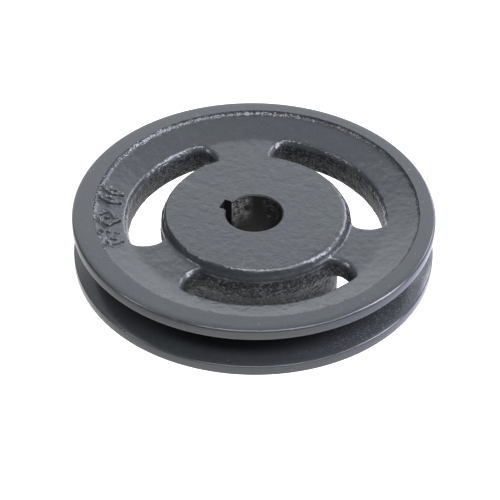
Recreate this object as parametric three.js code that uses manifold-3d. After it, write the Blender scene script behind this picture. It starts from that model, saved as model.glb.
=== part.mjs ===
// Cast-iron V-belt pulley: one A-section groove, a dished web with three kidney slots, a hub that
// stands out on one side, a keyed bore, and two socket set screws in radial tapped holes of the hub.
//
// Millimetres, +Z up. The origin is the centre of the hub's lower end face, on the bore axis.
// +Z points to the flush side of the rim, and the keyway is on +X.
//
// The casting is made as a foundry and a lathe make it. A rough blank is revolved about the
// casting's own centre, its slots are cored, and then the true surfaces (outer diameter, groove,
// faces, bore, keyway, tapped holes) are cut about the bore axis, which lies slightly off centre.

import * as THREE from 'three';
import { mergeVertices } from 'three/addons/utils/BufferGeometryUtils.js';
import Module from 'manifold-3d';

// ---- Driving dimensions ----------------------------------------------------------------------

const OUTER_RADIUS = 63.5;
const RIM_WIDTH = 20;
const HUB_LENGTH = 35;
const HUB_BELOW_RIM_FACE = 1.8;       // the hub's upper face lies this far below the rim's
const EDGE_BREAK = 0.3;

const GROOVE = { topWidth: 12.2, depth: 12.5, halfAngle: THREE.MathUtils.degToRad(18) };

const BORE_RADIUS = 10;
const KEYWAY = { width: 5, floorRadius: 12.3 };
const BORE_CHAMFER = 0.5;

// As-cast surfaces, all about the casting's own centre
const CAST_SHIFT = { distance: 1.3, angle: THREE.MathUtils.degToRad(-109) };
const RECESS = { mouthRadius: 57.5, stepDepth: 1.2, footRadius: 45.5, footDepth: 4.8 };
const WEB_UNDERSIDE_DEPTH = 11.9;     // below the rim's upper face
const HUB_TOP_RADIUS = 31.7;
const HUB_SIDE_RADIUS = 32.4;
const LOWER_HUB_RADIUS = 29.2;
const DRAFT = 0.6;                    // how much the lower hub widens up to the web
const UNDER_FILLET = 8.5;             // between the lower hub and the web

const SLOT = {
  count: 3,
  firstSpoke: THREE.MathUtils.degToRad(61.4),
  innerRadius: 33.3,
  outerRadius: 45.7,
  spokeHalfAngle: THREE.MathUtils.degToRad(15.25),
  endRadius: 9.5,                     // the gently bulging end
  endCentreRadius: 39.5,
  cornerRadius: 2.5,
  waistDepth: 4.5,                    // below the web's upper face, where the walls stand closest
  draft: 0.4,                         // how far the walls lean back from the waist to that face
};

const SCREW = { radius: 3.75, length: 16, chamfer: 0.8, socketAcrossFlats: 4, socketDepth: 5 };
const SCREW_HOLE_RADIUS = 4.1;
const SCREW_HEIGHT = 8.4;
const SCREW_TIP_GAP = 0.3;            // how far each point stands clear of the bore or keyway floor

// Machining stock of the blank, which the true surfaces cut away
const STOCK = 1.5;

// Facets
const ROUND = 96;
const SMALL_ROUND = 32;

// ---- Heights ---------------------------------------------------------------------------------

const RIM_TOP = HUB_LENGTH + HUB_BELOW_RIM_FACE;
const RIM_BOTTOM = RIM_TOP - RIM_WIDTH;
const RIM_MIDDLE = RIM_TOP - RIM_WIDTH / 2;
const WEB_TOP = RIM_TOP - RECESS.footDepth;
const WEB_BOTTOM = RIM_TOP - WEB_UNDERSIDE_DEPTH;
const LOWER_FOOT = RIM_BOTTOM + RECESS.footDepth;

// ---- Solids ----------------------------------------------------------------------------------

const wasm = await Module();
wasm.setup();

/** A manifold solid from a closed three.js geometry. */
function solid(geometry) {
  const bare = geometry.index ? geometry.toNonIndexed() : geometry.clone();
  for (const name of Object.keys(bare.attributes)) {
    if (name !== 'position') bare.deleteAttribute(name);
  }
  const merged = mergeVertices(bare, 1e-4);
  const corners = merged.index.array;
  const kept = [];
  for (let i = 0; i < corners.length; i += 3) {
    const [a, b, c] = corners.slice(i, i + 3);
    if (a !== b && b !== c && c !== a) kept.push(a, b, c);
  }
  return new wasm.Manifold(new wasm.Mesh({
    numProp: 3,
    vertProperties: new Float32Array(merged.attributes.position.array),
    triVerts: new Uint32Array(kept),
  }));
}

/** A three.js geometry from a manifold solid. */
function geometryOf(body) {
  const mesh = body.getMesh();
  const geometry = new THREE.BufferGeometry();
  geometry.setAttribute('position', new THREE.BufferAttribute(mesh.vertProperties, 3));
  geometry.setIndex(new THREE.BufferAttribute(mesh.triVerts, 1));
  return geometry;
}

/** Revolves [radius, height] points about +Z. They run from the bottom, up the outside, to the top. */
function revolved(profile, segments = ROUND) {
  const points = profile.map(([radius, height]) => new THREE.Vector2(radius, height));
  return new THREE.LatheGeometry(points, segments).rotateX(Math.PI / 2);
}

/** A solid through flat outlines of equally many points, each at its height, from the lowest up. */
function lofted(outlines, heights) {
  const count = outlines[0].length;
  const top = (outlines.length - 1) * count;
  const positions = outlines.flatMap((outline, i) => outline.flatMap(({ x, y }) => [x, y, heights[i]]));
  const corners = [];
  for (const [a, b, c] of THREE.ShapeUtils.triangulateShape(outlines[0], [])) {
    corners.push(c, b, a);
    corners.push(top + a, top + b, top + c);
  }
  for (let i = 0; i < top; i += 1) {
    const next = i % count === count - 1 ? i + 1 - count : i + 1;
    corners.push(i, next, next + count);
    corners.push(i, next + count, i + count);
  }
  const geometry = new THREE.BufferGeometry();
  geometry.setAttribute('position', new THREE.Float32BufferAttribute(positions, 3));
  geometry.setIndex(corners);
  return geometry;
}

/** [radius, height] points of a fillet about a centre, between two angles in degrees. */
function arc(centreRadius, centreHeight, radius, from, to, steps = 4) {
  const points = [];
  for (let i = 0; i <= steps; i += 1) {
    const angle = THREE.MathUtils.degToRad(from + (to - from) * i / steps);
    points.push([centreRadius + radius * Math.cos(angle), centreHeight + radius * Math.sin(angle)]);
  }
  return points;
}

// ---- The casting -----------------------------------------------------------------------------

/** The rough blank's section: hub, web and rim in one piece, with stock on what is machined. */
function blankProfile() {
  const lowerHubTop = LOWER_HUB_RADIUS + DRAFT;
  const hubFillet = 1.5;
  const recessSlope = (RECESS.footDepth - RECESS.stepDepth) / (RECESS.mouthRadius - RECESS.footRadius);
  return [
    [0, -STOCK],
    [LOWER_HUB_RADIUS, -STOCK],
    ...arc(lowerHubTop + UNDER_FILLET, WEB_BOTTOM - UNDER_FILLET, UNDER_FILLET, 180, 90, 8),
    [RECESS.footRadius - 3, WEB_BOTTOM],
    [RECESS.footRadius - 1, WEB_BOTTOM - 1],
    [RECESS.footRadius, LOWER_FOOT],
    [RECESS.mouthRadius - 0.3, RIM_BOTTOM + RECESS.stepDepth],
    [RECESS.mouthRadius, RIM_BOTTOM - STOCK],
    [OUTER_RADIUS + 2 * STOCK, RIM_BOTTOM - STOCK],
    [OUTER_RADIUS + 2 * STOCK, RIM_TOP + STOCK],
    [RECESS.mouthRadius, RIM_TOP + STOCK],
    [RECESS.mouthRadius - 0.3, RIM_TOP - RECESS.stepDepth],
    [RECESS.footRadius + 1.5, WEB_TOP + 1.5 * recessSlope],
    [RECESS.footRadius - 1, WEB_TOP],
    ...arc(HUB_SIDE_RADIUS + hubFillet, WEB_TOP + hubFillet, hubFillet, 270, 180, 3),
    [HUB_TOP_RADIUS, HUB_LENGTH - 1],
    [HUB_TOP_RADIUS - 0.3, HUB_LENGTH - 0.3],
    [HUB_TOP_RADIUS - 1, HUB_LENGTH],
    [HUB_TOP_RADIUS - 1, HUB_LENGTH + STOCK],
    [0, HUB_LENGTH + STOCK],
  ];
}

/** What the lathe leaves: everything outside this section is cut away, about the bore axis. */
function turnedProfile() {
  const grooveBottom = OUTER_RADIUS - GROOVE.depth;
  const halfTop = GROOVE.topWidth / 2;
  const halfBottom = halfTop - GROOVE.depth * Math.tan(GROOVE.halfAngle);
  const clearOfHub = (HUB_SIDE_RADIUS + RECESS.footRadius) / 2;
  return [
    [0, 0],
    [clearOfHub, 0],
    [clearOfHub, RIM_BOTTOM],
    [OUTER_RADIUS - EDGE_BREAK, RIM_BOTTOM],
    [OUTER_RADIUS, RIM_BOTTOM + EDGE_BREAK],
    [OUTER_RADIUS, RIM_MIDDLE - halfTop - EDGE_BREAK],
    [OUTER_RADIUS - EDGE_BREAK, RIM_MIDDLE - halfTop],
    [grooveBottom, RIM_MIDDLE - halfBottom],
    [grooveBottom, RIM_MIDDLE + halfBottom],
    [OUTER_RADIUS - EDGE_BREAK, RIM_MIDDLE + halfTop],
    [OUTER_RADIUS, RIM_MIDDLE + halfTop + EDGE_BREAK],
    [OUTER_RADIUS, RIM_TOP - EDGE_BREAK],
    [OUTER_RADIUS - EDGE_BREAK, RIM_TOP],
    [clearOfHub, RIM_TOP],
    [clearOfHub, HUB_LENGTH],
    [0, HUB_LENGTH],
  ];
}

/** Where two circles meet, on the side that lies counterclockwise of the line between centres. */
function meetingPoint(centreA, radiusA, centreB, radiusB) {
  const across = centreB.clone().sub(centreA);
  const apart = across.length();
  const along = (radiusA ** 2 - radiusB ** 2 + apart ** 2) / (2 * apart);
  const aside = Math.sqrt(radiusA ** 2 - along ** 2);
  across.normalize();
  const left = new THREE.Vector2(-across.y, across.x);
  return centreA.clone().addScaledVector(across, along).addScaledVector(left, aside);
}

/** The arcs at a slot's counterclockwise end, with all of its walls moved in by inset. */
function slotEndArcs(inset) {
  const centre = new THREE.Vector2();
  const halfAngle = Math.PI / SLOT.count - SLOT.spokeHalfAngle - inset / SLOT.endCentreRadius;
  const endAngle = halfAngle - Math.asin(SLOT.endRadius / SLOT.endCentreRadius);
  const end = new THREE.Vector2(Math.cos(endAngle), Math.sin(endAngle));
  end.multiplyScalar(SLOT.endCentreRadius);
  const corner = SLOT.cornerRadius;
  const outer = meetingPoint(centre, SLOT.outerRadius - inset - corner, end, SLOT.endRadius - corner);
  const inner = meetingPoint(centre, SLOT.innerRadius + inset + corner, end, SLOT.endRadius - corner);
  const outerFrom = outer.angle();
  const outerTo = outer.clone().sub(end).angle();
  const innerFrom = inner.clone().sub(end).angle();
  return { end, outer, inner, outerFrom, outerTo, innerFrom };
}

/** One kidney slot's outline, symmetric about +X, with all of its walls moved in by inset. */
function slotOutline(inset) {
  const { end, outer, inner, outerFrom, outerTo, innerFrom } = slotEndArcs(inset);
  const upper = [];
  const sweep = (centre, radius, from, to, steps) => {
    for (let i = 0; i <= steps; i += 1) {
      const angle = from + (to - from) * i / steps;
      upper.push(new THREE.Vector2(radius * Math.cos(angle), radius * Math.sin(angle)).add(centre));
    }
  };
  const origin = new THREE.Vector2();
  sweep(origin, SLOT.outerRadius - inset, 0, outerFrom, 12);
  sweep(outer, SLOT.cornerRadius, outerFrom, outerTo, 4);
  sweep(end, SLOT.endRadius, outerTo, innerFrom, 4);
  sweep(inner, SLOT.cornerRadius, innerFrom, inner.angle() + Math.PI, 4);
  sweep(origin, SLOT.innerRadius + inset, inner.angle(), 0, 12);
  const lower = upper.slice(1, -1).reverse().map((point) => new THREE.Vector2(point.x, -point.y));
  return [...upper, ...lower];
}

/** The core of one slot. Its walls lean back both up and down from a waist, the mould's parting. */
function slotCore() {
  const waist = WEB_TOP - SLOT.waistDepth;
  const lean = SLOT.draft / SLOT.waistDepth;
  const heights = [RIM_BOTTOM, waist, RIM_TOP];
  const outlines = heights.map((height) => slotOutline(SLOT.draft - lean * Math.abs(height - waist)));
  return lofted(outlines, heights);
}

/** A radial hole for a set screw, from inside the bore out through the hub. */
function screwHole() {
  const length = LOWER_HUB_RADIUS + DRAFT + STOCK;
  return new THREE.CylinderGeometry(SCREW_HOLE_RADIUS, SCREW_HOLE_RADIUS, length, SMALL_ROUND)
    .rotateZ(Math.PI / 2)
    .translate(length / 2 + BORE_RADIUS / 2, 0, SCREW_HEIGHT);
}

function sheaveCasting() {
  const shiftX = CAST_SHIFT.distance * Math.cos(CAST_SHIFT.angle);
  const shiftY = CAST_SHIFT.distance * Math.sin(CAST_SHIFT.angle);
  let body = solid(revolved(blankProfile()).translate(shiftX, shiftY, 0));

  const slot = slotCore();
  for (let i = 0; i < SLOT.count; i += 1) {
    const turn = SLOT.firstSpoke + (i + 0.5) * 2 * Math.PI / SLOT.count;
    body = body.subtract(solid(slot.clone().rotateZ(turn).translate(shiftX, shiftY, 0)));
  }

  body = body.intersect(solid(revolved(turnedProfile())));

  const bore = [
    [0, -1],
    [BORE_RADIUS + BORE_CHAMFER + 1, -1],
    [BORE_RADIUS, BORE_CHAMFER],
    [BORE_RADIUS, HUB_LENGTH - BORE_CHAMFER],
    [BORE_RADIUS + BORE_CHAMFER + 1, HUB_LENGTH + 1],
    [0, HUB_LENGTH + 1],
  ];
  body = body.subtract(solid(revolved(bore, SMALL_ROUND * 2)));

  const keyway = new THREE.BoxGeometry(KEYWAY.floorRadius, KEYWAY.width, HUB_LENGTH + 2)
    .translate(KEYWAY.floorRadius / 2, 0, HUB_LENGTH / 2);
  body = body.subtract(solid(keyway));

  body = body.subtract(solid(screwHole()));
  body = body.subtract(solid(screwHole().rotateZ(Math.PI / 2)));
  return geometryOf(body);
}

// ---- The set screws --------------------------------------------------------------------------

/** A socket set screw with a cup point. It lies along +X, its point at the origin. */
function setScrew() {
  const { radius, length, chamfer } = SCREW;
  const cupRadius = radius * 0.5;
  const profile = [
    [0, cupRadius / 2],
    [cupRadius, 0],
    [radius, radius - cupRadius],
    [radius, length - chamfer],
    [radius - chamfer, length],
    [0, length],
  ];
  const socketRadius = SCREW.socketAcrossFlats / Math.sqrt(3);
  const socket = new THREE.CylinderGeometry(socketRadius, socketRadius, SCREW.socketDepth + 1, 6)
    .rotateX(Math.PI / 2)
    .translate(0, 0, length + 1 - (SCREW.socketDepth + 1) / 2);
  const body = solid(revolved(profile, SMALL_ROUND)).subtract(solid(socket));
  return geometryOf(body).rotateY(Math.PI / 2);
}

// ---- Scene -----------------------------------------------------------------------------------

const paintedIron = new THREE.MeshStandardMaterial({ color: 0x3f4347, roughness: 0.45, metalness: 0.2 });
const blackSteel = new THREE.MeshStandardMaterial({ color: 0x2a2a2c, roughness: 0.4, metalness: 0.8 });

function part(name, geometry, material) {
  const mesh = new THREE.Mesh(geometry, material);
  mesh.name = name;
  return mesh;
}

const pulley = new THREE.Group();
pulley.add(part('sheave_casting', sheaveCasting(), paintedIron));

const keywayScrew = part('keyway_set_screw', setScrew(), blackSteel);
keywayScrew.position.set(KEYWAY.floorRadius + SCREW_TIP_GAP, 0, SCREW_HEIGHT);
pulley.add(keywayScrew);

const sideScrew = part('side_set_screw', setScrew(), blackSteel.clone());
sideScrew.rotation.z = Math.PI / 2;
sideScrew.position.set(0, BORE_RADIUS + SCREW_TIP_GAP, SCREW_HEIGHT);
pulley.add(sideScrew);

export default pulley;
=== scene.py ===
"""Looks for the cast V-belt pulley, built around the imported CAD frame.

The casting is made the way the real one is. A rough blank is revolved, cored and remeshed, which
gives it soft foundry fillets, and its skin gets sand-cast relief. Then the true surfaces (rim,
groove, hub faces, bore, keyway and tapped holes) are cut crisply into it. The set screws get
helical threads and hexagon sockets. Lengths are millimetres, except in finished meshes, in node
coordinates and on the stage, which are in metres.
"""
import math

import bmesh
import bpy
import numpy as np
from mathutils import Matrix, Quaternion, Vector, noise


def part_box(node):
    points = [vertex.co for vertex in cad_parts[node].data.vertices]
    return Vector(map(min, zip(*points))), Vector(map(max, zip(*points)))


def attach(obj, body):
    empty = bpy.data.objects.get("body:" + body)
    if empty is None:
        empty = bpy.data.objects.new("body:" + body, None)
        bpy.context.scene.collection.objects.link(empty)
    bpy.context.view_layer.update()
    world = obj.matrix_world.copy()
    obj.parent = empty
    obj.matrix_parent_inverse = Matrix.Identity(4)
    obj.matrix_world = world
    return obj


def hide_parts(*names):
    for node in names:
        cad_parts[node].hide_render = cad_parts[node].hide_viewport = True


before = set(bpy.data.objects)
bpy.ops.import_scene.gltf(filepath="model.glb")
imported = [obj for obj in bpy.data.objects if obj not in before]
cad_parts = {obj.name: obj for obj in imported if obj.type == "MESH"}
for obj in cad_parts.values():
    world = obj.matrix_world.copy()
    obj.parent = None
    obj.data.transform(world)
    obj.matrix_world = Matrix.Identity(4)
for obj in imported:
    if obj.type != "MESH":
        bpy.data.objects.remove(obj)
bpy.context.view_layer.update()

MM = 0.001

# ---- Sizes that the frame gives ----------------------------------------------------------------

CASTING_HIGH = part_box("sheave_casting")[1] / MM
OUTER_RADIUS = CASTING_HIGH.x
RIM_TOP = CASTING_HIGH.z
SCREW_LOW, SCREW_HIGH = (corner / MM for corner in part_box("keyway_set_screw"))
SIDE_SCREW_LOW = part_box("side_set_screw")[0] / MM
SCREW_HEIGHT = (SCREW_LOW.z + SCREW_HIGH.z) / 2
SCREW_LENGTH = SCREW_HIGH.x - SCREW_LOW.x
SCREW_RADIUS = (SCREW_HIGH.z - SCREW_LOW.z) / 2

# ---- Sizes inside those, the same as the CAD part's ----------------------------------------------

RIM_WIDTH = 20.0
HUB_TOP = 35.0
RIM_BOTTOM = RIM_TOP - RIM_WIDTH
RIM_MIDDLE = RIM_TOP - RIM_WIDTH / 2
GROOVE_WIDTH, GROOVE_DEPTH, GROOVE_HALF_ANGLE = 12.2, 12.5, math.radians(18)
BORE_RADIUS, BORE_CHAMFER = 10.0, 0.5
KEYWAY_WIDTH, KEYWAY_FLOOR = 5.0, 12.3
RECESS_MOUTH, RECESS_FOOT = 57.5, 45.5
RECESS_STEP, RECESS_DEPTH = 1.2, 4.8
WEB_TOP = RIM_TOP - RECESS_DEPTH
WEB_BOTTOM = RIM_TOP - 11.9
HUB_SIDE_RADIUS, LOWER_HUB_RADIUS, LOWER_HUB_DRAFT = 32.4, 29.2, 0.6
UNDER_FILLET = 8.5
SLOT_INNER, SLOT_OUTER, SLOT_END, SLOT_CORNER = 33.3, 45.7, 9.5, 2.5
SLOT_WAIST, SLOT_DRAFT = 4.5, 0.4
SLOT_END_CENTRE = 39.5
SPOKE_HALF_ANGLE = math.radians(15.25)
FIRST_SPOKE = math.radians(61.4)
SLOTS = 3
CAST_SHIFT_ANGLE = math.radians(-109)
CAST_SHIFT = Vector((math.cos(CAST_SHIFT_ANGLE), math.sin(CAST_SHIFT_ANGLE), 0)) * 1.3
STOCK = 1.5

# ---- Detail that only the looks have -------------------------------------------------------------

CAST_VOXEL = 0.45
SOFTENING_ROUNDS = 12                  # how often the cast skin is smoothed into fillets
HUB_CORNER = 2.6                       # cast corner of the hub, which facing cuts through
HUB_STOCK = 0.4
HUB_TILT = math.radians(0.68)          # how far the cast top of the hub is from square
LOW_SIDE = math.radians(194)           # and where it is lowest, round from +X
SLOT_LIP, SLOT_END_LIP = 1.0, 1.6      # broken upper edge of the slots, wider at their ends
LIP_ABOVE, LIP_BELOW = 0.6, -0.4       # share of the lip that the walls move out, above and below it
EDGE_ROUND, TOP_EDGE_ROUND = 0.65, 1.1         # painted edges of the turned rim
GROOVE_EDGE_ROUND, GROOVE_BOTTOM_ROUND = 0.6, 0.6
THREAD_PITCH = 1.25
THREAD_DEPTH = 0.55
THREAD_FLAT = 0.15                     # half of a thread's flat root or crest, as a share of the pitch
HOLE_CREST = 4.05                      # smallest radius of the tapped holes' thread
SCREW_CHAMFER = 1.0
SOCKET_FLATS, SOCKET_DEPTH = 4.0, 5.0
MARK_RADIUS, MARK_HEIGHT, MARK_STROKE = 52.3, 1.05, 1.6
MARK_ZONE = (27, 21, 5.6)              # middle and half width in degrees, and half breadth in millimetres

FINE_FROM = 0.15                       # how grainy or beady a face is before it is divided finer

# The cast skin's noises, each as (size, height).
SKIN_SWELLS = ((11, 0.12), (4.2, 0.09), (1.8, 0.06))
WALL_SWELLS = ((1.1, 0.24), (2.9, 0.16))
BEAD_SWELLS = ((0.7, 0.12), (2.2, 0.06))


# ---- Mesh tools ----------------------------------------------------------------------------------

def new_object(name, vertices, faces, material):
    """An object from points in millimetres."""
    mesh = bpy.data.meshes.new(name)
    mesh.from_pydata([tuple(v) for v in np.asarray(vertices, float) * MM], [], faces)
    mesh.validate()
    mesh.materials.append(material)
    obj = bpy.data.objects.new(name, mesh)
    bpy.context.scene.collection.objects.link(obj)
    return obj


def apply_modifiers(obj):
    """Replaces the object's mesh with what its modifiers make of it."""
    depsgraph = bpy.context.evaluated_depsgraph_get()
    mesh = bpy.data.meshes.new_from_object(obj.evaluated_get(depsgraph))
    old = obj.data
    obj.modifiers.clear()
    obj.data = mesh
    bpy.data.meshes.remove(old)


def combine(obj, tool, operation):
    """Cuts the tool from obj, or keeps what both share, and removes the tool.

    Cut faces keep the tool's material.
    """
    boolean = obj.modifiers.new("combine", "BOOLEAN")
    boolean.object = tool
    boolean.operation = operation
    boolean.solver = "MANIFOLD"
    boolean.material_mode = "TRANSFER"
    apply_modifiers(obj)
    bpy.data.objects.remove(tool)


def rounded(corners, steps=5):
    """Points of an outline whose corners are rounded. Each corner is (a, b, fillet radius)."""
    points = []
    last = len(corners) - 1
    for i, (a, b, fillet) in enumerate(corners):
        here = np.array((a, b), float)
        if not fillet or i in (0, last):
            points.append(here)
            continue
        back = np.array(corners[i - 1][:2], float) - here
        ahead = np.array(corners[i + 1][:2], float) - here
        back /= np.linalg.norm(back)
        ahead /= np.linalg.norm(ahead)
        half = math.acos(np.clip(back @ ahead, -1, 1)) / 2
        sweep = math.pi - 2 * half
        bisector = (back + ahead) / np.linalg.norm(back + ahead)
        centre = here + bisector * fillet / math.sin(half)
        start = here + back * fillet / math.tan(half) - centre
        end = here + ahead * fillet / math.tan(half) - centre
        for k in range(steps + 1):
            t = k / steps
            swept = start * math.sin((1 - t) * sweep) + end * math.sin(t * sweep)
            points.append(centre + swept / math.sin(sweep))
    return points


def spaced(points, step):
    """The outline with long stretches divided, so that no stretch is over step long."""
    out = [points[0]]
    for here, there in zip(points, points[1:]):
        parts = max(1, math.ceil(np.linalg.norm(np.subtract(there, here)) / step))
        out += [np.add(here, np.subtract(there, here) * k / parts) for k in range(1, parts + 1)]
    return out


def revolved(name, section, segments, material):
    """A solid of revolution about +Z.

    The section of (radius, height) runs from the axis at the bottom, up the outside, to the axis
    at the top.
    """
    angles = np.arange(segments) * 2 * math.pi / segments
    low, high = section[0], section[-1]
    vertices = [(0, 0, low[1]), (0, 0, high[1])]
    for radius, height in section[1:-1]:
        vertices += [(radius * math.cos(a), radius * math.sin(a), height) for a in angles]
    faces = []
    rows = len(section) - 2
    for j in range(segments):
        k = (j + 1) % segments
        faces.append((0, 2 + k, 2 + j))
        faces.append((1, 2 + (rows - 1) * segments + j, 2 + (rows - 1) * segments + k))
        for i in range(rows - 1):
            here, above = 2 + i * segments, 2 + (i + 1) * segments
            faces.append((here + j, here + k, above + k, above + j))
    return new_object(name, vertices, faces, material)


def lofted(name, outlines, heights, material):
    """A solid through counterclockwise outlines of (x, y) points, each at its height, going up."""
    n = len(outlines[0])
    top = n * (len(outlines) - 1)
    vertices = [(x, y, z) for outline, z in zip(outlines, heights) for x, y in outline]
    faces = [tuple(range(n - 1, -1, -1)), tuple(range(top, top + n))]
    for i in range(top):
        following = i + 1 - n if i % n == n - 1 else i + 1
        faces.append((i, following, following + n, i + n))
    return new_object(name, vertices, faces, material)


def prism(name, outline, low, high, material):
    return lofted(name, [outline, outline], [low, high], material)


def thread_height(turns):
    """0 at a thread's root and 1 at its crest, for a place counted in turns."""
    wave = abs((turns % 1.0) * 2 - 1)
    return min(max((wave - THREAD_FLAT) / (1 - 2 * THREAD_FLAT), 0.0), 1.0)


def threaded_rod(name, start, end, crest, root, chamfer, material, segments=56):
    """A threaded rod along +X, from x = start to x = end, with chamfered ends."""
    steps = math.ceil((end - start) / THREAD_PITCH * 10)
    stations = [start + (end - start) * i / steps for i in range(steps + 1)]
    vertices = [(start, 0, 0), (end, 0, 0)]
    for x in stations:
        limit = crest - chamfer + min(x - start, end - x, chamfer)
        for j in range(segments):
            angle = 2 * math.pi * j / segments
            height = thread_height(x / THREAD_PITCH - j / segments)
            radius = min(root + (crest - root) * height, limit)
            vertices.append((x, radius * math.cos(angle), radius * math.sin(angle)))
    faces = []
    for j in range(segments):
        k = (j + 1) % segments
        faces.append((0, 2 + k, 2 + j))
        faces.append((1, 2 + steps * segments + j, 2 + steps * segments + k))
        for i in range(steps):
            here, above = 2 + i * segments, 2 + (i + 1) * segments
            faces.append((here + j, here + k, above + k, above + j))
    return new_object(name, vertices, faces, material)


def vectors(elements, key):
    """A vector that each of a mesh's vertices or faces has, as rows of an array."""
    values = np.zeros(len(elements) * 3)
    elements.foreach_get(key, values)
    return values.reshape(-1, 3)


def positions(mesh):
    return vectors(mesh.vertices, "co")


def normals(mesh):
    return vectors(mesh.vertices, "normal")


def face_middles(mesh):
    return vectors(mesh.polygons, "center")


def refine(mesh, chosen, cuts):
    """Divides the chosen faces into smaller ones."""
    edit = bmesh.new()
    edit.from_mesh(mesh)
    edit.faces.ensure_lookup_table()
    edges = dict.fromkeys(edge for i in np.flatnonzero(chosen) for edge in edit.faces[i].edges)
    bmesh.ops.subdivide_edges(edit, edges=list(edges), cuts=cuts, use_grid_fill=True)
    edit.to_mesh(mesh)
    edit.free()


def smoothstep(low, high, value):
    """0 up to low and 1 from high, with a smooth rise between them."""
    t = np.clip((value - low) / (high - low), 0, 1)
    return t * t * (3 - 2 * t)


def bell(value, middle, width):
    """1 at the middle, falling off on both sides over about the width."""
    return np.exp(-((value - middle) / width) ** 2)


# ---- The casting ---------------------------------------------------------------------------------

def blank_section():
    """The rough blank: hub, web and rim in one, with stock on what is turned."""
    lower_foot = RIM_BOTTOM + RECESS_DEPTH
    beyond = OUTER_RADIUS + 2 * STOCK
    return rounded([
        (0, -STOCK, 0),
        (LOWER_HUB_RADIUS, -STOCK, 0),
        (LOWER_HUB_RADIUS + LOWER_HUB_DRAFT, WEB_BOTTOM, UNDER_FILLET),
        (RECESS_FOOT - 2, WEB_BOTTOM, 2),
        (RECESS_FOOT, lower_foot, 1.5),
        (RECESS_MOUTH - 0.3, RIM_BOTTOM + RECESS_STEP, 0.5),
        (RECESS_MOUTH, RIM_BOTTOM - STOCK, 0),
        (beyond, RIM_BOTTOM - STOCK, 0),
        (beyond, RIM_TOP + STOCK, 0),
        (RECESS_MOUTH, RIM_TOP + STOCK, 0),
        (RECESS_MOUTH - 0.3, RIM_TOP - RECESS_STEP, 3.0),
        (RECESS_FOOT, WEB_TOP, 6),
        (HUB_SIDE_RADIUS + 0.5, WEB_TOP, 0.8),
        (HUB_SIDE_RADIUS - 0.5, HUB_TOP + HUB_STOCK, HUB_CORNER),
        (0, HUB_TOP + HUB_STOCK, 0),
    ])


def turned_section():
    """What the lathe leaves of the rim, and of the hub's lower end."""
    groove_bottom = OUTER_RADIUS - GROOVE_DEPTH
    half_top = GROOVE_WIDTH / 2
    half_bottom = half_top - GROOVE_DEPTH * math.tan(GROOVE_HALF_ANGLE)
    clear_of_hub = (HUB_SIDE_RADIUS + RECESS_FOOT) / 2
    return rounded([
        (0, 0, 0),
        (clear_of_hub, 0, 0),
        (clear_of_hub, RIM_BOTTOM, 0),
        (OUTER_RADIUS, RIM_BOTTOM, EDGE_ROUND),
        (OUTER_RADIUS, RIM_MIDDLE - half_top, GROOVE_EDGE_ROUND),
        (groove_bottom, RIM_MIDDLE - half_bottom, GROOVE_BOTTOM_ROUND),
        (groove_bottom, RIM_MIDDLE + half_bottom, GROOVE_BOTTOM_ROUND),
        (OUTER_RADIUS, RIM_MIDDLE + half_top, GROOVE_EDGE_ROUND),
        (OUTER_RADIUS, RIM_TOP, TOP_EDGE_ROUND),
        (clear_of_hub, RIM_TOP, 0),
        (clear_of_hub, RIM_TOP + 1, 0),
        (0, RIM_TOP + 1, 0),
    ])


def meeting_point(centre_a, radius_a, centre_b, radius_b):
    """Where two circles meet, on the side counterclockwise of the line from a to b."""
    across = centre_b - centre_a
    apart = np.linalg.norm(across)
    along = (radius_a ** 2 - radius_b ** 2 + apart ** 2) / (2 * apart)
    aside = math.sqrt(radius_a ** 2 - along ** 2)
    across = across / apart
    return centre_a + across * along + np.array((-across[1], across[0])) * aside


def slot_outline(draft, flare, end_flare):
    """One kidney slot, symmetric about +X: two rings, a bulging end, and a fillet in each corner.

    Its walls are moved in by draft, then the outer ring moved out by flare and the ends by end_flare.
    """
    half_angle = math.pi / SLOTS - SPOKE_HALF_ANGLE - (draft - end_flare) / SLOT_END_CENTRE
    end_angle = half_angle - math.asin(SLOT_END / SLOT_END_CENTRE)
    outer_ring, inner_ring = SLOT_OUTER - draft + flare, SLOT_INNER + draft
    corner = SLOT_CORNER + 2 * max(flare, 0)
    origin = np.zeros(2)
    end = SLOT_END_CENTRE * np.array((math.cos(end_angle), math.sin(end_angle)))
    outer = meeting_point(origin, outer_ring - corner, end, SLOT_END - corner)
    inner = meeting_point(origin, inner_ring + corner, end, SLOT_END - corner)

    def heading(vector):
        return math.atan2(vector[1], vector[0]) % (2 * math.pi)

    arcs = [
        (origin, outer_ring, 0, heading(outer), 40),
        (outer, corner, heading(outer), heading(outer - end), 8),
        (end, SLOT_END, heading(outer - end), heading(inner - end), 12),
        (inner, corner, heading(inner - end), heading(inner) + math.pi, 8),
        (origin, inner_ring, heading(inner), 0, 40),
    ]
    upper = []
    for centre, radius, start, stop, steps in arcs:
        for i in range(steps):
            angle = start + (stop - start) * i / steps
            upper.append(centre + radius * np.array((math.cos(angle), math.sin(angle))))
    upper.append(np.array((inner_ring, 0.0)))
    lower = [point * (1, -1) for point in upper[-2:0:-1]]
    return np.array(upper + lower)


def slot_core(turn, material):
    """The core of one slot.

    Its walls lean back both up and down from a waist, the mould's parting, and the upper edge is
    broken by a lip.
    """
    waist, lip = WEB_TOP - SLOT_WAIST, WEB_TOP - SLOT_END_LIP
    heights = (RIM_BOTTOM, waist, lip, WEB_TOP, RIM_TOP)
    outlines = []
    for height in heights:
        draft = SLOT_DRAFT * (1 - abs(min(height, lip) - waist) / SLOT_WAIST)
        share = LIP_ABOVE if height > lip else LIP_BELOW
        outline = slot_outline(draft, share * SLOT_LIP, share * SLOT_END_LIP)
        outlines.append(turned_about_z(outline, turn))
    return lofted("core", outlines, heights, material)


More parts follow.
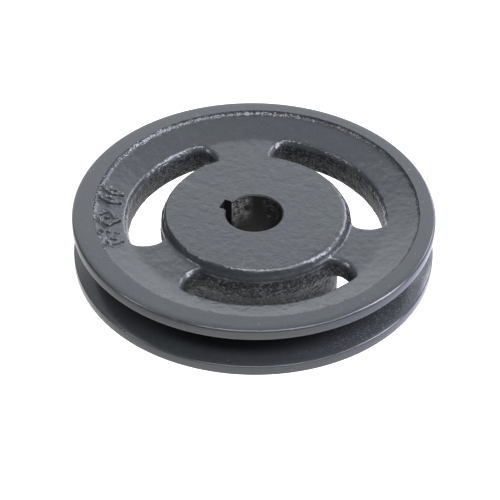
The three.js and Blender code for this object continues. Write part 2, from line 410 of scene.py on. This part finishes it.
def turned_about_z(points, angle):
    """Rows of (x, y), turned counterclockwise."""
    c, s = math.cos(angle), math.sin(angle)
    return points @ np.array(((c, s), (-s, c)))


def lozenge(u, v, half_u, half_v):
    """Strokes round a lozenge. u runs round the rim and v outwards from it, in millimetres."""
    corners = [(u + half_u, v), (u, v + half_v), (u - half_u, v), (u, v - half_v)]
    return list(zip(corners, corners[1:] + corners[:1]))


def pip(u, v):
    """A stroke that is one round dot."""
    return [((u, v), (u, v))]


def foundry_marks():
    """Raised marks with no letters or numbers in them: (angle round the casting in degrees, strokes)."""
    tall = [stroke for u in (-2.5, 2.5) for stroke in lozenge(u, 0, 1.5, 3.5)]
    wide = lozenge(0, 0, 4.0, 4.1) + pip(0, 0)
    dotted = [stroke for v in (-2.9, 0, 2.9) for stroke in pip(-3.2, v)] + lozenge(1.8, 0, 1.7, 3.4)
    return [(14.4, tall), (28.2, wide), (40.2, dotted)]


def around_casting(points):
    """The radius and heading of points, about the axis of the cast surfaces."""
    x, y = points[:, 0] - CAST_SHIFT.x, points[:, 1] - CAST_SHIFT.y
    return np.hypot(x, y), np.arctan2(y, x)


def mark_height(points):
    """How far the foundry marks stand up at points in millimetres."""
    radius, heading = around_casting(points)
    nearest = np.full(len(points), np.inf)
    for middle, strokes in foundry_marks():
        here = np.stack(((heading - math.radians(middle)) * MARK_RADIUS, radius - MARK_RADIUS), axis=1)
        for start, end in strokes:
            along = np.subtract(end, start)
            share = np.clip((here - start) @ along / max(along @ along, 1e-9), 0, 1)
            apart = np.linalg.norm(here - start - share[:, None] * along, axis=1)
            nearest = np.minimum(nearest, apart)
    raised = 1 - smoothstep(0.25 * MARK_STROKE, 0.72 * MARK_STROKE, nearest)
    return MARK_HEIGHT * raised * (points[:, 2] > WEB_TOP)


def mark_zone(points):
    """Whether points are on or near the foundry marks."""
    radius, heading = around_casting(points)
    middle, half_width, half_breadth = MARK_ZONE
    beside = np.abs(np.degrees(heading) - middle) < half_width
    return beside & (np.abs(radius - MARK_RADIUS) < half_breadth) & (points[:, 2] > WEB_TOP)


def wall_grain(points, directions):
    """How coarse the core's sand left the skin.

    It is 1 on the hub under the web, less on its lower end and on the slots' outer walls, and 0
    elsewhere.
    """
    radius, _ = around_casting(points)
    steep = 1 - smoothstep(0.45, 0.85, np.abs(directions[:, 2]))
    below = 1 - smoothstep(WEB_TOP - 2.4, WEB_TOP - 1.2, points[:, 2])
    within = smoothstep(LOWER_HUB_RADIUS - 1.5, LOWER_HUB_RADIUS - 0.8, radius)
    within *= 1 - smoothstep(SLOT_OUTER + 0.8, SLOT_OUTER + 2.2, radius)
    share = 1 - 0.5 * smoothstep(38, 41, radius) - 0.35 * (1 - smoothstep(5, 13, points[:, 2]))
    return steep * below * within * share


def groove_depth(points):
    """0 on the rim's lands, rising to 1 inside the belt groove."""
    radius = np.hypot(points[:, 0], points[:, 1])
    beside = np.abs(points[:, 2] - RIM_MIDDLE) < GROOVE_WIDTH / 2 + 0.2
    outside = radius > OUTER_RADIUS - GROOVE_DEPTH - 0.5
    return smoothstep(0.3, 1.2, OUTER_RADIUS - radius) * beside * outside


def edge_beads(points):
    """How beady the cast edges are.

    It is 1 along the recess's mouth, less along the slots' outer lips and the hub's corner, and 0
    elsewhere.
    """
    radius, heading = around_casting(points)
    mouth = bell(radius, RECESS_MOUTH - 1.0, 0.9)
    corner = bell(radius, HUB_SIDE_RADIUS - 0.5, 1.0)
    apart = 2 * math.pi / SLOTS
    from_spoke = np.abs((heading - FIRST_SPOKE + apart / 2) % apart - apart / 2)
    lip = bell(radius, SLOT_OUTER + 0.2, 0.9) * bell(points[:, 2], WEB_TOP - 0.7, 0.9)
    lip *= from_spoke > SPOKE_HALF_ANGLE
    return (mouth + 0.25 * corner) * (points[:, 2] > WEB_TOP + 0.5) + 0.6 * lip


def swell(place, sizes_and_heights):
    """A sum of noises, each given as its (size, height)."""
    return sum(noise.noise(place / size) * height for size, height in sizes_and_heights)


def relief(obj):
    """Sand-cast relief on the skin, and the foundry marks.

    There are long swells and orange peel all over, coarse grain on the cored walls and beads along
    the cast edges.
    """
    mesh = obj.data
    middles = face_middles(mesh) / MM
    grainy = wall_grain(middles, vectors(mesh.polygons, "normal")) > FINE_FROM
    refine(mesh, grainy | (edge_beads(middles) > FINE_FROM), 1)
    refine(mesh, mark_zone(face_middles(mesh) / MM), 2)
    points, directions = positions(mesh) / MM, normals(mesh)
    walls, beads = wall_grain(points, directions), edge_beads(points)
    raised = mark_height(points)
    for i, point in enumerate(points):
        place = Vector(point)
        raised[i] += swell(place, SKIN_SWELLS)
        raised[i] += raised[i] * noise.noise(place / 1.2) * 0.5
        if walls[i] > 0.01:
            raised[i] += walls[i] * swell(place, WALL_SWELLS)
        if beads[i] > 0.01:
            raised[i] += beads[i] * swell(place, BEAD_SWELLS)
    moved = (points + directions * raised[:, None]) * MM
    mesh.vertices.foreach_set("co", moved.ravel())
    mesh.update()


def casting(paint, turned_paint, faced_paint, bare):
    """The whole casting, from the rough blank to the last tapped hole."""
    blank = revolved("casting", spaced(blank_section(), 2), 240, paint)
    for i in range(SLOTS):
        turn = FIRST_SPOKE + (i + 0.5) * 2 * math.pi / SLOTS
        combine(blank, slot_core(turn, paint), "DIFFERENCE")
    tilt_hub(blank.data)
    blank.data.transform(Matrix.Translation(CAST_SHIFT * MM))
    remesh = blank.modifiers.new("skin", "REMESH")
    remesh.mode = "VOXEL"
    remesh.voxel_size = CAST_VOXEL * MM
    soften = blank.modifiers.new("fillets", "SMOOTH")
    soften.factor = 0.5
    soften.iterations = SOFTENING_ROUNDS
    apply_modifiers(blank)
    relief(blank)
    combine(blank, revolved("lathe", spaced(turned_section(), 1.5), 360, turned_paint), "INTERSECT")
    combine(blank, facing_tool(faced_paint), "DIFFERENCE")
    combine(blank, bore_tool(bare), "DIFFERENCE")
    combine(blank, keyway_tool(bare), "DIFFERENCE")
    for side in (False, True):
        combine(blank, tapped_hole(bare, side), "DIFFERENCE")
    return blank


def tilt_hub(mesh):
    """Tilts what stands above the web, as in a mould that closed out of square."""
    points = positions(mesh)
    downhill = points[:, 0] * math.cos(LOW_SIDE) + points[:, 1] * math.sin(LOW_SIDE)
    share = np.clip((points[:, 2] / MM - WEB_TOP) / (HUB_TOP - WEB_TOP), 0, 1)
    on_hub = np.hypot(points[:, 0], points[:, 1]) < (HUB_SIDE_RADIUS + 1) * MM
    points[:, 2] -= downhill * share * on_hub * math.tan(HUB_TILT)
    mesh.vertices.foreach_set("co", points.ravel())


def facing_tool(material):
    """What facing the hub takes away."""
    beyond = (HUB_SIDE_RADIUS + RECESS_FOOT) / 2
    above = HUB_TOP + 2 * STOCK
    return revolved("facing", [(0, HUB_TOP), (beyond, HUB_TOP), (beyond, above), (0, above)], 96, material)


def bore_tool(material):
    """The bore, with a chamfer at each end."""
    beyond = BORE_RADIUS + BORE_CHAMFER + 1
    section = [
        (0, -1),
        (beyond, -1),
        (BORE_RADIUS, BORE_CHAMFER),
        (BORE_RADIUS, HUB_TOP - BORE_CHAMFER),
        (BORE_RADIUS + BORE_CHAMFER, HUB_TOP),
        (beyond, HUB_TOP + 1),
        (0, HUB_TOP + 1),
    ]
    return revolved("bore", spaced(section, 1.5), 128, material)


def keyway_tool(material):
    half = KEYWAY_WIDTH / 2
    outline = np.array(((0, -half), (KEYWAY_FLOOR, -half), (KEYWAY_FLOOR, half), (0, half)))
    return prism("keyway", outline, -1, HUB_TOP + 1, material)


def tapped_hole(material, side):
    """A tapped hole from inside the bore to beyond the hub."""
    start, end = BORE_RADIUS / 2, LOWER_HUB_RADIUS + 2.5
    crest = HOLE_CREST + THREAD_DEPTH
    hole = threaded_rod("tap", start, end, crest, HOLE_CREST, 0, material)
    return placed_screw(hole, side, 0)


def placed_screw(obj, side, x):
    """Moves a piece made along +X to its place on the keyway's side (+X) or on the other (+Y)."""
    turn = Matrix.Rotation(math.pi / 2 if side else 0, 4, "Z")
    obj.data.transform(turn @ Matrix.Translation(Vector((x, 0, SCREW_HEIGHT)) * MM))
    return obj


# ---- Set screws ----------------------------------------------------------------------------------

def regular_polygon(sides, corner_radius):
    angles = np.arange(sides) * 2 * math.pi / sides
    return np.stack((corner_radius * np.cos(angles), corner_radius * np.sin(angles)), axis=1)


def set_screw(name, material, side):
    """A socket set screw with a cup point towards the shaft."""
    tip = SIDE_SCREW_LOW.y if side else SCREW_LOW.x
    lie_along_x = Matrix.Rotation(math.pi / 2, 4, "Y")
    root = SCREW_RADIUS - THREAD_DEPTH
    rod = threaded_rod(name, 0, SCREW_LENGTH, SCREW_RADIUS, root, SCREW_CHAMFER, material)
    cup_section = [(0, -1), (SCREW_RADIUS * 0.7, -1), (SCREW_RADIUS * 0.5, 0.05), (0, 1.2)]
    hexagon = regular_polygon(6, SOCKET_FLATS / math.sqrt(3))
    for tool in (
        revolved("cup", cup_section, 32, material),
        prism("socket", hexagon, SCREW_LENGTH - SOCKET_DEPTH, SCREW_LENGTH + 1, material),
    ):
        tool.data.transform(lie_along_x)
        combine(rod, tool, "DIFFERENCE")
    return placed_screw(rod, side, tip)


# ---- Materials -----------------------------------------------------------------------------------

class Nodes:
    """A short way to build a node material. Most methods add a node and return its output."""

    def __init__(self, name):
        self.material = bpy.data.materials.new(name)
        self.material.use_nodes = True
        self.tree = self.material.node_tree
        self.shader = self.tree.nodes["Principled BSDF"]
        coordinates = self.tree.nodes.new("ShaderNodeTexCoord")
        self.place = coordinates.outputs["Object"]

    def link(self, source, socket):
        self.tree.links.new(source, socket)

    def noise(self, size, detail=2.0, roughness=0.5, stretch=None):
        """Noise whose features are about size millimetres across."""
        node = self.tree.nodes.new("ShaderNodeTexNoise")
        node.inputs["Scale"].default_value = 1000 / size
        node.inputs["Detail"].default_value = detail
        node.inputs["Roughness"].default_value = roughness
        place = self.place
        if stretch:
            mapping = self.tree.nodes.new("ShaderNodeMapping")
            mapping.inputs["Scale"].default_value = stretch
            self.link(place, mapping.inputs["Vector"])
            place = mapping.outputs["Vector"]
        self.link(place, node.inputs["Vector"])
        return node.outputs["Fac"]

    def ramp(self, value, low, high, out_low=0.0, out_high=1.0):
        node = self.tree.nodes.new("ShaderNodeMapRange")
        for socket, number in zip(node.inputs[1:5], (low, high, out_low, out_high)):
            socket.default_value = number
        self.link(value, node.inputs["Value"])
        return node.outputs["Result"]

    def math(self, operation, a, b):
        node = self.tree.nodes.new("ShaderNodeMath")
        node.operation = operation
        for socket, value in zip(node.inputs, (a, b)):
            if isinstance(value, (int, float)):
                socket.default_value = value
            else:
                self.link(value, socket)
        return node.outputs["Value"]

    def mix(self, share, a, b):
        node = self.tree.nodes.new("ShaderNodeMix")
        node.data_type = "RGBA"
        self.link(share, node.inputs["Factor"])
        for key, value in (("A_Color", a), ("B_Color", b)):
            socket = next(s for s in node.inputs if s.identifier == key)
            if isinstance(value, tuple):
                socket.default_value = (*value, 1)
            else:
                self.link(value, socket)
        return next(s for s in node.outputs if s.identifier == "Result_Color")

    def along(self, direction):
        """How far in metres the surface lies in a direction from the part's origin."""
        node = self.tree.nodes.new("ShaderNodeVectorMath")
        node.operation = "DOT_PRODUCT"
        self.link(self.place, node.inputs[0])
        node.inputs[1].default_value = direction
        return node.outputs["Value"]

    def attribute(self, name):
        node = self.tree.nodes.new("ShaderNodeAttribute")
        node.attribute_name = name
        return node.outputs["Fac"]

    def pointiness(self):
        return self.tree.nodes.new("ShaderNodeNewGeometry").outputs["Pointiness"]

    def bevel(self, radius):
        """A normal that rounds crisp edges by radius millimetres, as a coat of paint does."""
        node = self.tree.nodes.new("ShaderNodeBevel")
        node.samples = 4
        node.inputs["Radius"].default_value = radius * MM
        return node.outputs["Normal"]

    def bump(self, height, distance, strength=1.0, below=None):
        node = self.tree.nodes.new("ShaderNodeBump")
        node.inputs["Distance"].default_value = distance * MM
        if isinstance(strength, (int, float)):
            node.inputs["Strength"].default_value = strength
        else:
            self.link(strength, node.inputs["Strength"])
        self.link(height, node.inputs["Height"])
        if below is not None:
            self.link(below, node.inputs["Normal"])
        return node.outputs["Normal"]

    def finish(self, colour, roughness, normal, metallic=0.0):
        for value, key in ((colour, "Base Color"), (roughness, "Roughness"), (normal, "Normal")):
            self.link(value, self.shader.inputs[key])
        if isinstance(metallic, float):
            self.shader.inputs["Metallic"].default_value = metallic
        else:
            self.link(metallic, self.shader.inputs["Metallic"])
        return self.material


BLUE_GREY = (0.0215, 0.0235, 0.0260)
GREEN_GREY = (0.022, 0.0265, 0.0255)
LIGHT_GREY = (0.035, 0.037, 0.041)
EDGE_WEAR = (0.07, 0.07, 0.085)
SPECK = (0.30, 0.30, 0.31)
DUST = (0.20, 0.20, 0.23)
# painted shade for the inside of the belt groove
GROOVE_PAINTED_SHADE = (0.008, 0.008, 0.011)
# painted shade between the sand's ridges on the cored walls, and a painted highlight on the ridges
SAND_HOLLOW_SHADE, SAND_RIDGE_HIGHLIGHT = (0.007, 0.008, 0.009), (0.042, 0.043, 0.047)
DARK_SKIN = (0.005, 0.005, 0.0045)
RUBBED_LOW, RUBBED_HIGH = (0.03, 0.0295, 0.028), (0.50, 0.49, 0.46)
OXIDE_LOW, OXIDE_HIGH, OXIDE_WORN = (0.020, 0.020, 0.023), (0.045, 0.043, 0.045), (0.22, 0.21, 0.20)


def paint_colour(n):
    """Mottled blue-grey paint, worn at its edges and specked with dust."""
    tint = n.mix(n.ramp(n.noise(14, 3), 0.45, 0.68), BLUE_GREY, GREEN_GREY)
    mottled = n.mix(n.ramp(n.noise(1.6, 4, 0.65), 0.35, 0.8, 0, 0.5), tint, LIGHT_GREY)
    worn = n.mix(n.ramp(n.pointiness(), 0.56, 0.68, 0, 0.35), mottled, EDGE_WEAR)
    return n.mix(n.ramp(n.noise(0.7, 1), 0.77, 0.80, 0, 0.55), worn, SPECK)


def groove_shade_and_dust(n, colour):
    """Painted shade inside the belt groove, darker with depth, with fine dust on one side of it."""
    groove = n.attribute("groove")
    # painted shade: darker towards the groove's bottom, where its flanks shade each other
    shaded = n.mix(n.ramp(groove, 0, 1, 0, 0.2), colour, GROOVE_PAINTED_SHADE)
    settled = n.math("MULTIPLY", groove, n.ramp(n.along((-0.99, 0.10, 0)), 0.044, 0.056))
    dust = n.math("MULTIPLY", settled, n.ramp(n.noise(0.42, 1), 0.63, 0.71, 0, 0.5))
    return n.mix(dust, shaded, DUST)


def sand_strokes(n, sand):
    """Short crooked ridges that the core's sand leaves: 1 on a ridge and 0 between them."""
    ridges = n.math("ABSOLUTE", n.math("SUBTRACT", n.noise(1.6, 2), 0.5), 0)
    gaps = n.ramp(n.noise(1.1, 1), 0.42, 0.56, 0.1, 1)
    broken = n.math("MULTIPLY", n.ramp(ridges, 0.005, 0.07, 1, 0), gaps)
    return n.math("MULTIPLY", broken, n.ramp(sand, 0.55, 0.9, 0.55, 1.0))


def painted(name, peel, grain, dullness):
    """Dark blue-grey paint. peel and grain are how deep its orange peel and its fine grain are, in mm."""
    n = Nodes(name)
    shaded = groove_shade_and_dust(n, paint_colour(n))
    sand = n.attribute("sand")
    strokes = sand_strokes(n, sand)
    # On the cored walls the colour goes nearly black between the ridges, painted shade, and lighter on
    # them, a painted highlight; the hollows also reflect less, painted shade on the reflection.
    sandy_share = n.ramp(sand, 0, 0.45)
    sand_shade_and_highlight = n.mix(n.ramp(sandy_share, 0, 1, 0, 0.9), shaded, n.mix(strokes, SAND_HOLLOW_SHADE, SAND_RIDGE_HIGHLIGHT))
    shaded_hollow = n.math("MULTIPLY", sandy_share, n.ramp(strokes, 0, 1, 1, 0))
    n.link(n.ramp(shaded_hollow, 0, 1, 0.5, 0.1), n.shader.inputs["Specular IOR Level"])
    rough = n.ramp(n.noise(6, 4, 0.6), 0.3, 0.7, dullness, dullness + 0.1)
    rough = n.math("MAXIMUM", rough, n.ramp(sandy_share, 0, 1, 0, 0.42))
    soft = n.bump(n.noise(2.6, 2), peel, 1.0, n.bevel(0.3))
    fine = n.bump(n.noise(0.6, 3, 0.6), grain, 1.0, soft)
    sandy = n.bump(strokes, 0.4, sandy_share, fine)
    return n.finish(sand_shade_and_highlight, rough, sandy)


def rubbed_places(n):
    """Where the upper bore is rubbed bright: a patch beside the keyway, and streaks further round."""
    up = n.along((0, 0, 1))
    below_chamfer = n.ramp(up, (HUB_TOP - 1.5) * MM, (HUB_TOP - 0.6) * MM, 1, 0)
    upper = n.ramp(up, (HUB_TOP - 14) * MM, (HUB_TOP - 5) * MM)
    inside = n.math("MULTIPLY", below_chamfer, upper)
    beside_keyway = n.ramp(n.along((1, 0, 0)), 0.0096, 0.0098, 1, 0)
    near_keyway = n.math("POWER", n.ramp(n.along((0.86, -0.51, 0)), 0.0078, 0.0100), 2.0)
    patch = n.math("MULTIPLY", near_keyway, n.ramp(n.noise(5, 3, 0.6), 0.38, 0.55))
    further = n.ramp(n.along((-0.30, -0.95, 0)), 0.0090, 0.0100, 0, 0.8)
    streaks = n.math("MULTIPLY", further, n.ramp(n.noise(0.9, 2, stretch=(0.6, 0.6, 2.2)), 0.54, 0.66))
    rubbed = n.math("MAXIMUM", patch, streaks)
    return n.math("MULTIPLY", rubbed, n.math("MULTIPLY", beside_keyway, inside))


def bare_iron():
    """The bore and the tapped holes: dark skin with bright rubbed patches."""
    n = Nodes("bare_iron")
    rubbed = rubbed_places(n)
    upright = n.noise(0.9, 4, 0.8, stretch=(1, 1, 0.2))
    across = n.noise(0.7, 3, 0.7, stretch=(0.3, 0.3, 2))
    hatch = n.math("MULTIPLY", upright, across)
    metal = n.mix(n.ramp(hatch, 0.18, 0.36), RUBBED_LOW, RUBBED_HIGH)
    colour = n.mix(rubbed, DARK_SKIN, metal)
    n.shader.inputs["Specular IOR Level"].default_value = 0.35
    rough = n.ramp(hatch, 0.15, 0.4, 0.42, 0.62)
    normal = n.bump(hatch, 0.03, 0.8)
    return n.finish(colour, rough, normal, n.ramp(rubbed, 0, 1, 0.1, 0.85))


def black_oxide():
    """The screws' dark oxide, worn to steel along its edges."""
    n = Nodes("black_oxide")
    colour = n.mix(n.ramp(n.noise(2.5, 4, 0.6), 0.35, 0.7), OXIDE_LOW, OXIDE_HIGH)
    worn = n.mix(n.ramp(n.pointiness(), 0.55, 0.68, 0, 0.8), colour, OXIDE_WORN)
    rough = n.ramp(n.noise(0.8, 3), 0.3, 0.7, 0.28, 0.45)
    normal = n.bump(n.noise(0.35, 3), 0.02, 0.6)
    return n.finish(worn, rough, normal, 0.7)


# ---- Stage ---------------------------------------------------------------------------------------

VIEW_ANGLE = math.radians(113.8)        # where the camera stands round the axis, from +X
VIEW_ELEVATION, VIEW_DISTANCE = 38.979, 0.7149
VIEW_ROLL = math.radians(0.561)
AIM = Vector((-2.60, 8.89, 25.68))
LENS, SENSOR = 147.34, 36
STAGE_CENTRE = Vector((0, 0, RIM_TOP * MM))
FLOOR_HALF = 40000                      # far enough for the floor to fill every low view
RIGHTWARDS = (-0.915, -0.404, 0)        # across the floor, to the right of where the camera stands

SKY = (0.92, 0.95, 1.0)
PALE = (0.94, 0.94, 1.08)

# Each softbox's angle and elevation in degrees, distance, width and height in metres, radiance and colour.
SOFTBOXES = {
    "back_softbox": (178, 18.5, 1.3, 2.8, 1.2, 1.78, (0.94, 0.985, 1.03)),
    "upper_softbox": (180, 64, 1.3, 2.6, 1.05, 0.9, (0.92, 0.965, 1.05)),
    "side_softbox": (86, 37, 1.0, 0.3, 0.75, 19.0, PALE),
    "far_side_softbox": (128, 28, 1.0, 0.3, 0.3, 9.0, PALE),
    "far_corner_softbox": (146, 12, 1.1, 0.2, 0.35, 7.0, (0.93, 0.93, 1.08)),
    "corner_softbox": (46, 47, 1.1, 0.6, 0.2, 13.0, (0.94, 0.95, 1.06)),
    "front_softbox": (0, 62, 1.2, 0.9, 0.3, 15.0, (0.95, 0.96, 1.03)),
    "left_softbox": (-78, 38, 1.0, 0.2, 0.35, 11.0, (0.96, 0.96, 1.03)),
}


def place(angle, elevation, distance):
    """A point in metres round the middle of the rim's face. angle is counted from the camera's."""
    around = VIEW_ANGLE + math.radians(angle)
    up = math.radians(elevation)
    away = Vector((math.cos(around) * math.cos(up), math.sin(around) * math.cos(up), math.sin(up)))
    return STAGE_CENTRE + away * distance


def stand(name, data, location, target, roll=0):
    """Links a camera or a lamp at a place in metres, facing the target."""
    obj = bpy.data.objects.new(name, data)
    bpy.context.scene.collection.objects.link(obj)
    obj.location = location
    obj.rotation_mode = "QUATERNION"
    look = (target - obj.location).to_track_quat("-Z", "Y")
    obj.rotation_quaternion = look @ Quaternion((0, 0, 1), roll)
    return obj


def camera():
    """The camera, at the angle that the pulley is seen from."""
    data = bpy.data.cameras.new("camera")
    data.lens = LENS
    data.sensor_width = SENSOR
    location = place(0, VIEW_ELEVATION, VIEW_DISTANCE)
    bpy.context.scene.camera = stand("camera", data, location, AIM * MM, VIEW_ROLL)


def softbox(name, angle, elevation, distance, width, height, radiance, colour):
    """A rectangular lamp that gives the same radiance whatever its size."""
    data = bpy.data.lights.new(name, "AREA")
    data.shape = "RECTANGLE"
    data.size, data.size_y = width, height
    data.energy = radiance * math.pi * width * height
    data.color = colour
    stand(name, data, place(angle, elevation, distance), STAGE_CENTRE)


def light_table():
    """A pale floor, lit from below: dimmest on the left, and lavender on the right."""
    n = Nodes("light_table")
    across = n.along(RIGHTWARDS)
    left_and_middle = n.mix(n.ramp(across, -0.085, -0.025), (1.0, 1.0, 1.0), (1.8, 1.8, 1.85))
    glow = n.mix(n.ramp(across, 0.02, 0.09), left_and_middle, (1.55, 1.57, 1.98))
    n.link(glow, n.shader.inputs["Emission Color"])
    n.shader.inputs["Emission Strength"].default_value = 1.0
    n.shader.inputs["Base Color"].default_value = (0.05, 0.05, 0.05, 1)
    n.shader.inputs["Roughness"].default_value = 0.9
    n.shader.inputs["Specular IOR Level"].default_value = 0.1
    return n.material


def stage():
    """The floor, the world's soft light and the softboxes."""
    half = FLOOR_HALF
    corners = [(-half, -half, 0), (half, -half, 0), (half, half, 0), (-half, half, 0)]
    floor = new_object("floor", corners, [(0, 1, 2, 3)], light_table())
    world = bpy.data.worlds.new("studio")
    world.use_nodes = True
    background = world.node_tree.nodes["Background"]
    background.inputs["Color"].default_value = (*SKY, 1)
    background.inputs["Strength"].default_value = 0.18
    bpy.context.scene.world = world
    for name, settings in SOFTBOXES.items():
        softbox(name, *settings)
    bpy.context.scene.view_settings.view_transform = "Standard"


# ---- Everything in place -------------------------------------------------------------------------

SLIVER = 0.004              # the length under which an edge is welded away


def mark_seams_sharp(mesh):
    """Makes every edge sharp where two finishes meet."""
    edit = bmesh.new()
    edit.from_mesh(mesh)
    for edge in edit.edges:
        if len({face.material_index for face in edge.link_faces}) > 1:
            edge.smooth = False
    edit.to_mesh(mesh)
    edit.free()


def shade_faced_plane_flat(mesh):
    """Keeps the hub's faced plane flat in the light, up to its edges."""
    for face in mesh.polygons:
        if face.normal.z > 0.9999 and abs(face.center.z / MM - HUB_TOP) < 0.01:
            face.use_smooth = False


def finish_mesh(obj, angle):
    """Welds slivers and shades smooth, with sharp edges over angle degrees and where finishes meet.

    It also stores where the skin is sandy, and where the belt groove is, for the materials, which paint
    shade and highlights there.
    """
    mesh = obj.data
    edit = bmesh.new()
    edit.from_mesh(mesh)
    bmesh.ops.dissolve_degenerate(edit, dist=SLIVER * MM, edges=edit.edges[:])
    edit.to_mesh(mesh)
    edit.free()
    mesh.shade_smooth()
    mesh.set_sharp_from_angle(angle=math.radians(angle))
    mark_seams_sharp(mesh)
    shade_faced_plane_flat(mesh)
    points, directions = positions(mesh) / MM, normals(mesh)
    for name, values in (("sand", wall_grain(points, directions)), ("groove", groove_depth(points))):
        attribute = mesh.attributes.new(name, "FLOAT", "POINT")
        attribute.data.foreach_set("value", values.astype(np.float32))


camera()
stage()

wheel = casting(
    painted("cast_paint", 0.2, 0.03, 0.22),
    painted("turned_paint", 0.02, 0.006, 0.16),
    painted("faced_paint", 0.26, 0.01, 0.22),
    bare_iron(),
)
wheel.name = "pulley_casting"
finish_mesh(wheel, 35)
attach(wheel, "casting")
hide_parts("sheave_casting")

steel = black_oxide()
screws = (("keyway_set_screw", "keyway_screw", False), ("side_set_screw", "side_screw", True))
for node, body, side in screws:
    screw = set_screw("threaded_" + node, steel, side)
    finish_mesh(screw, 30)
    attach(screw, body)
    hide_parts(node)
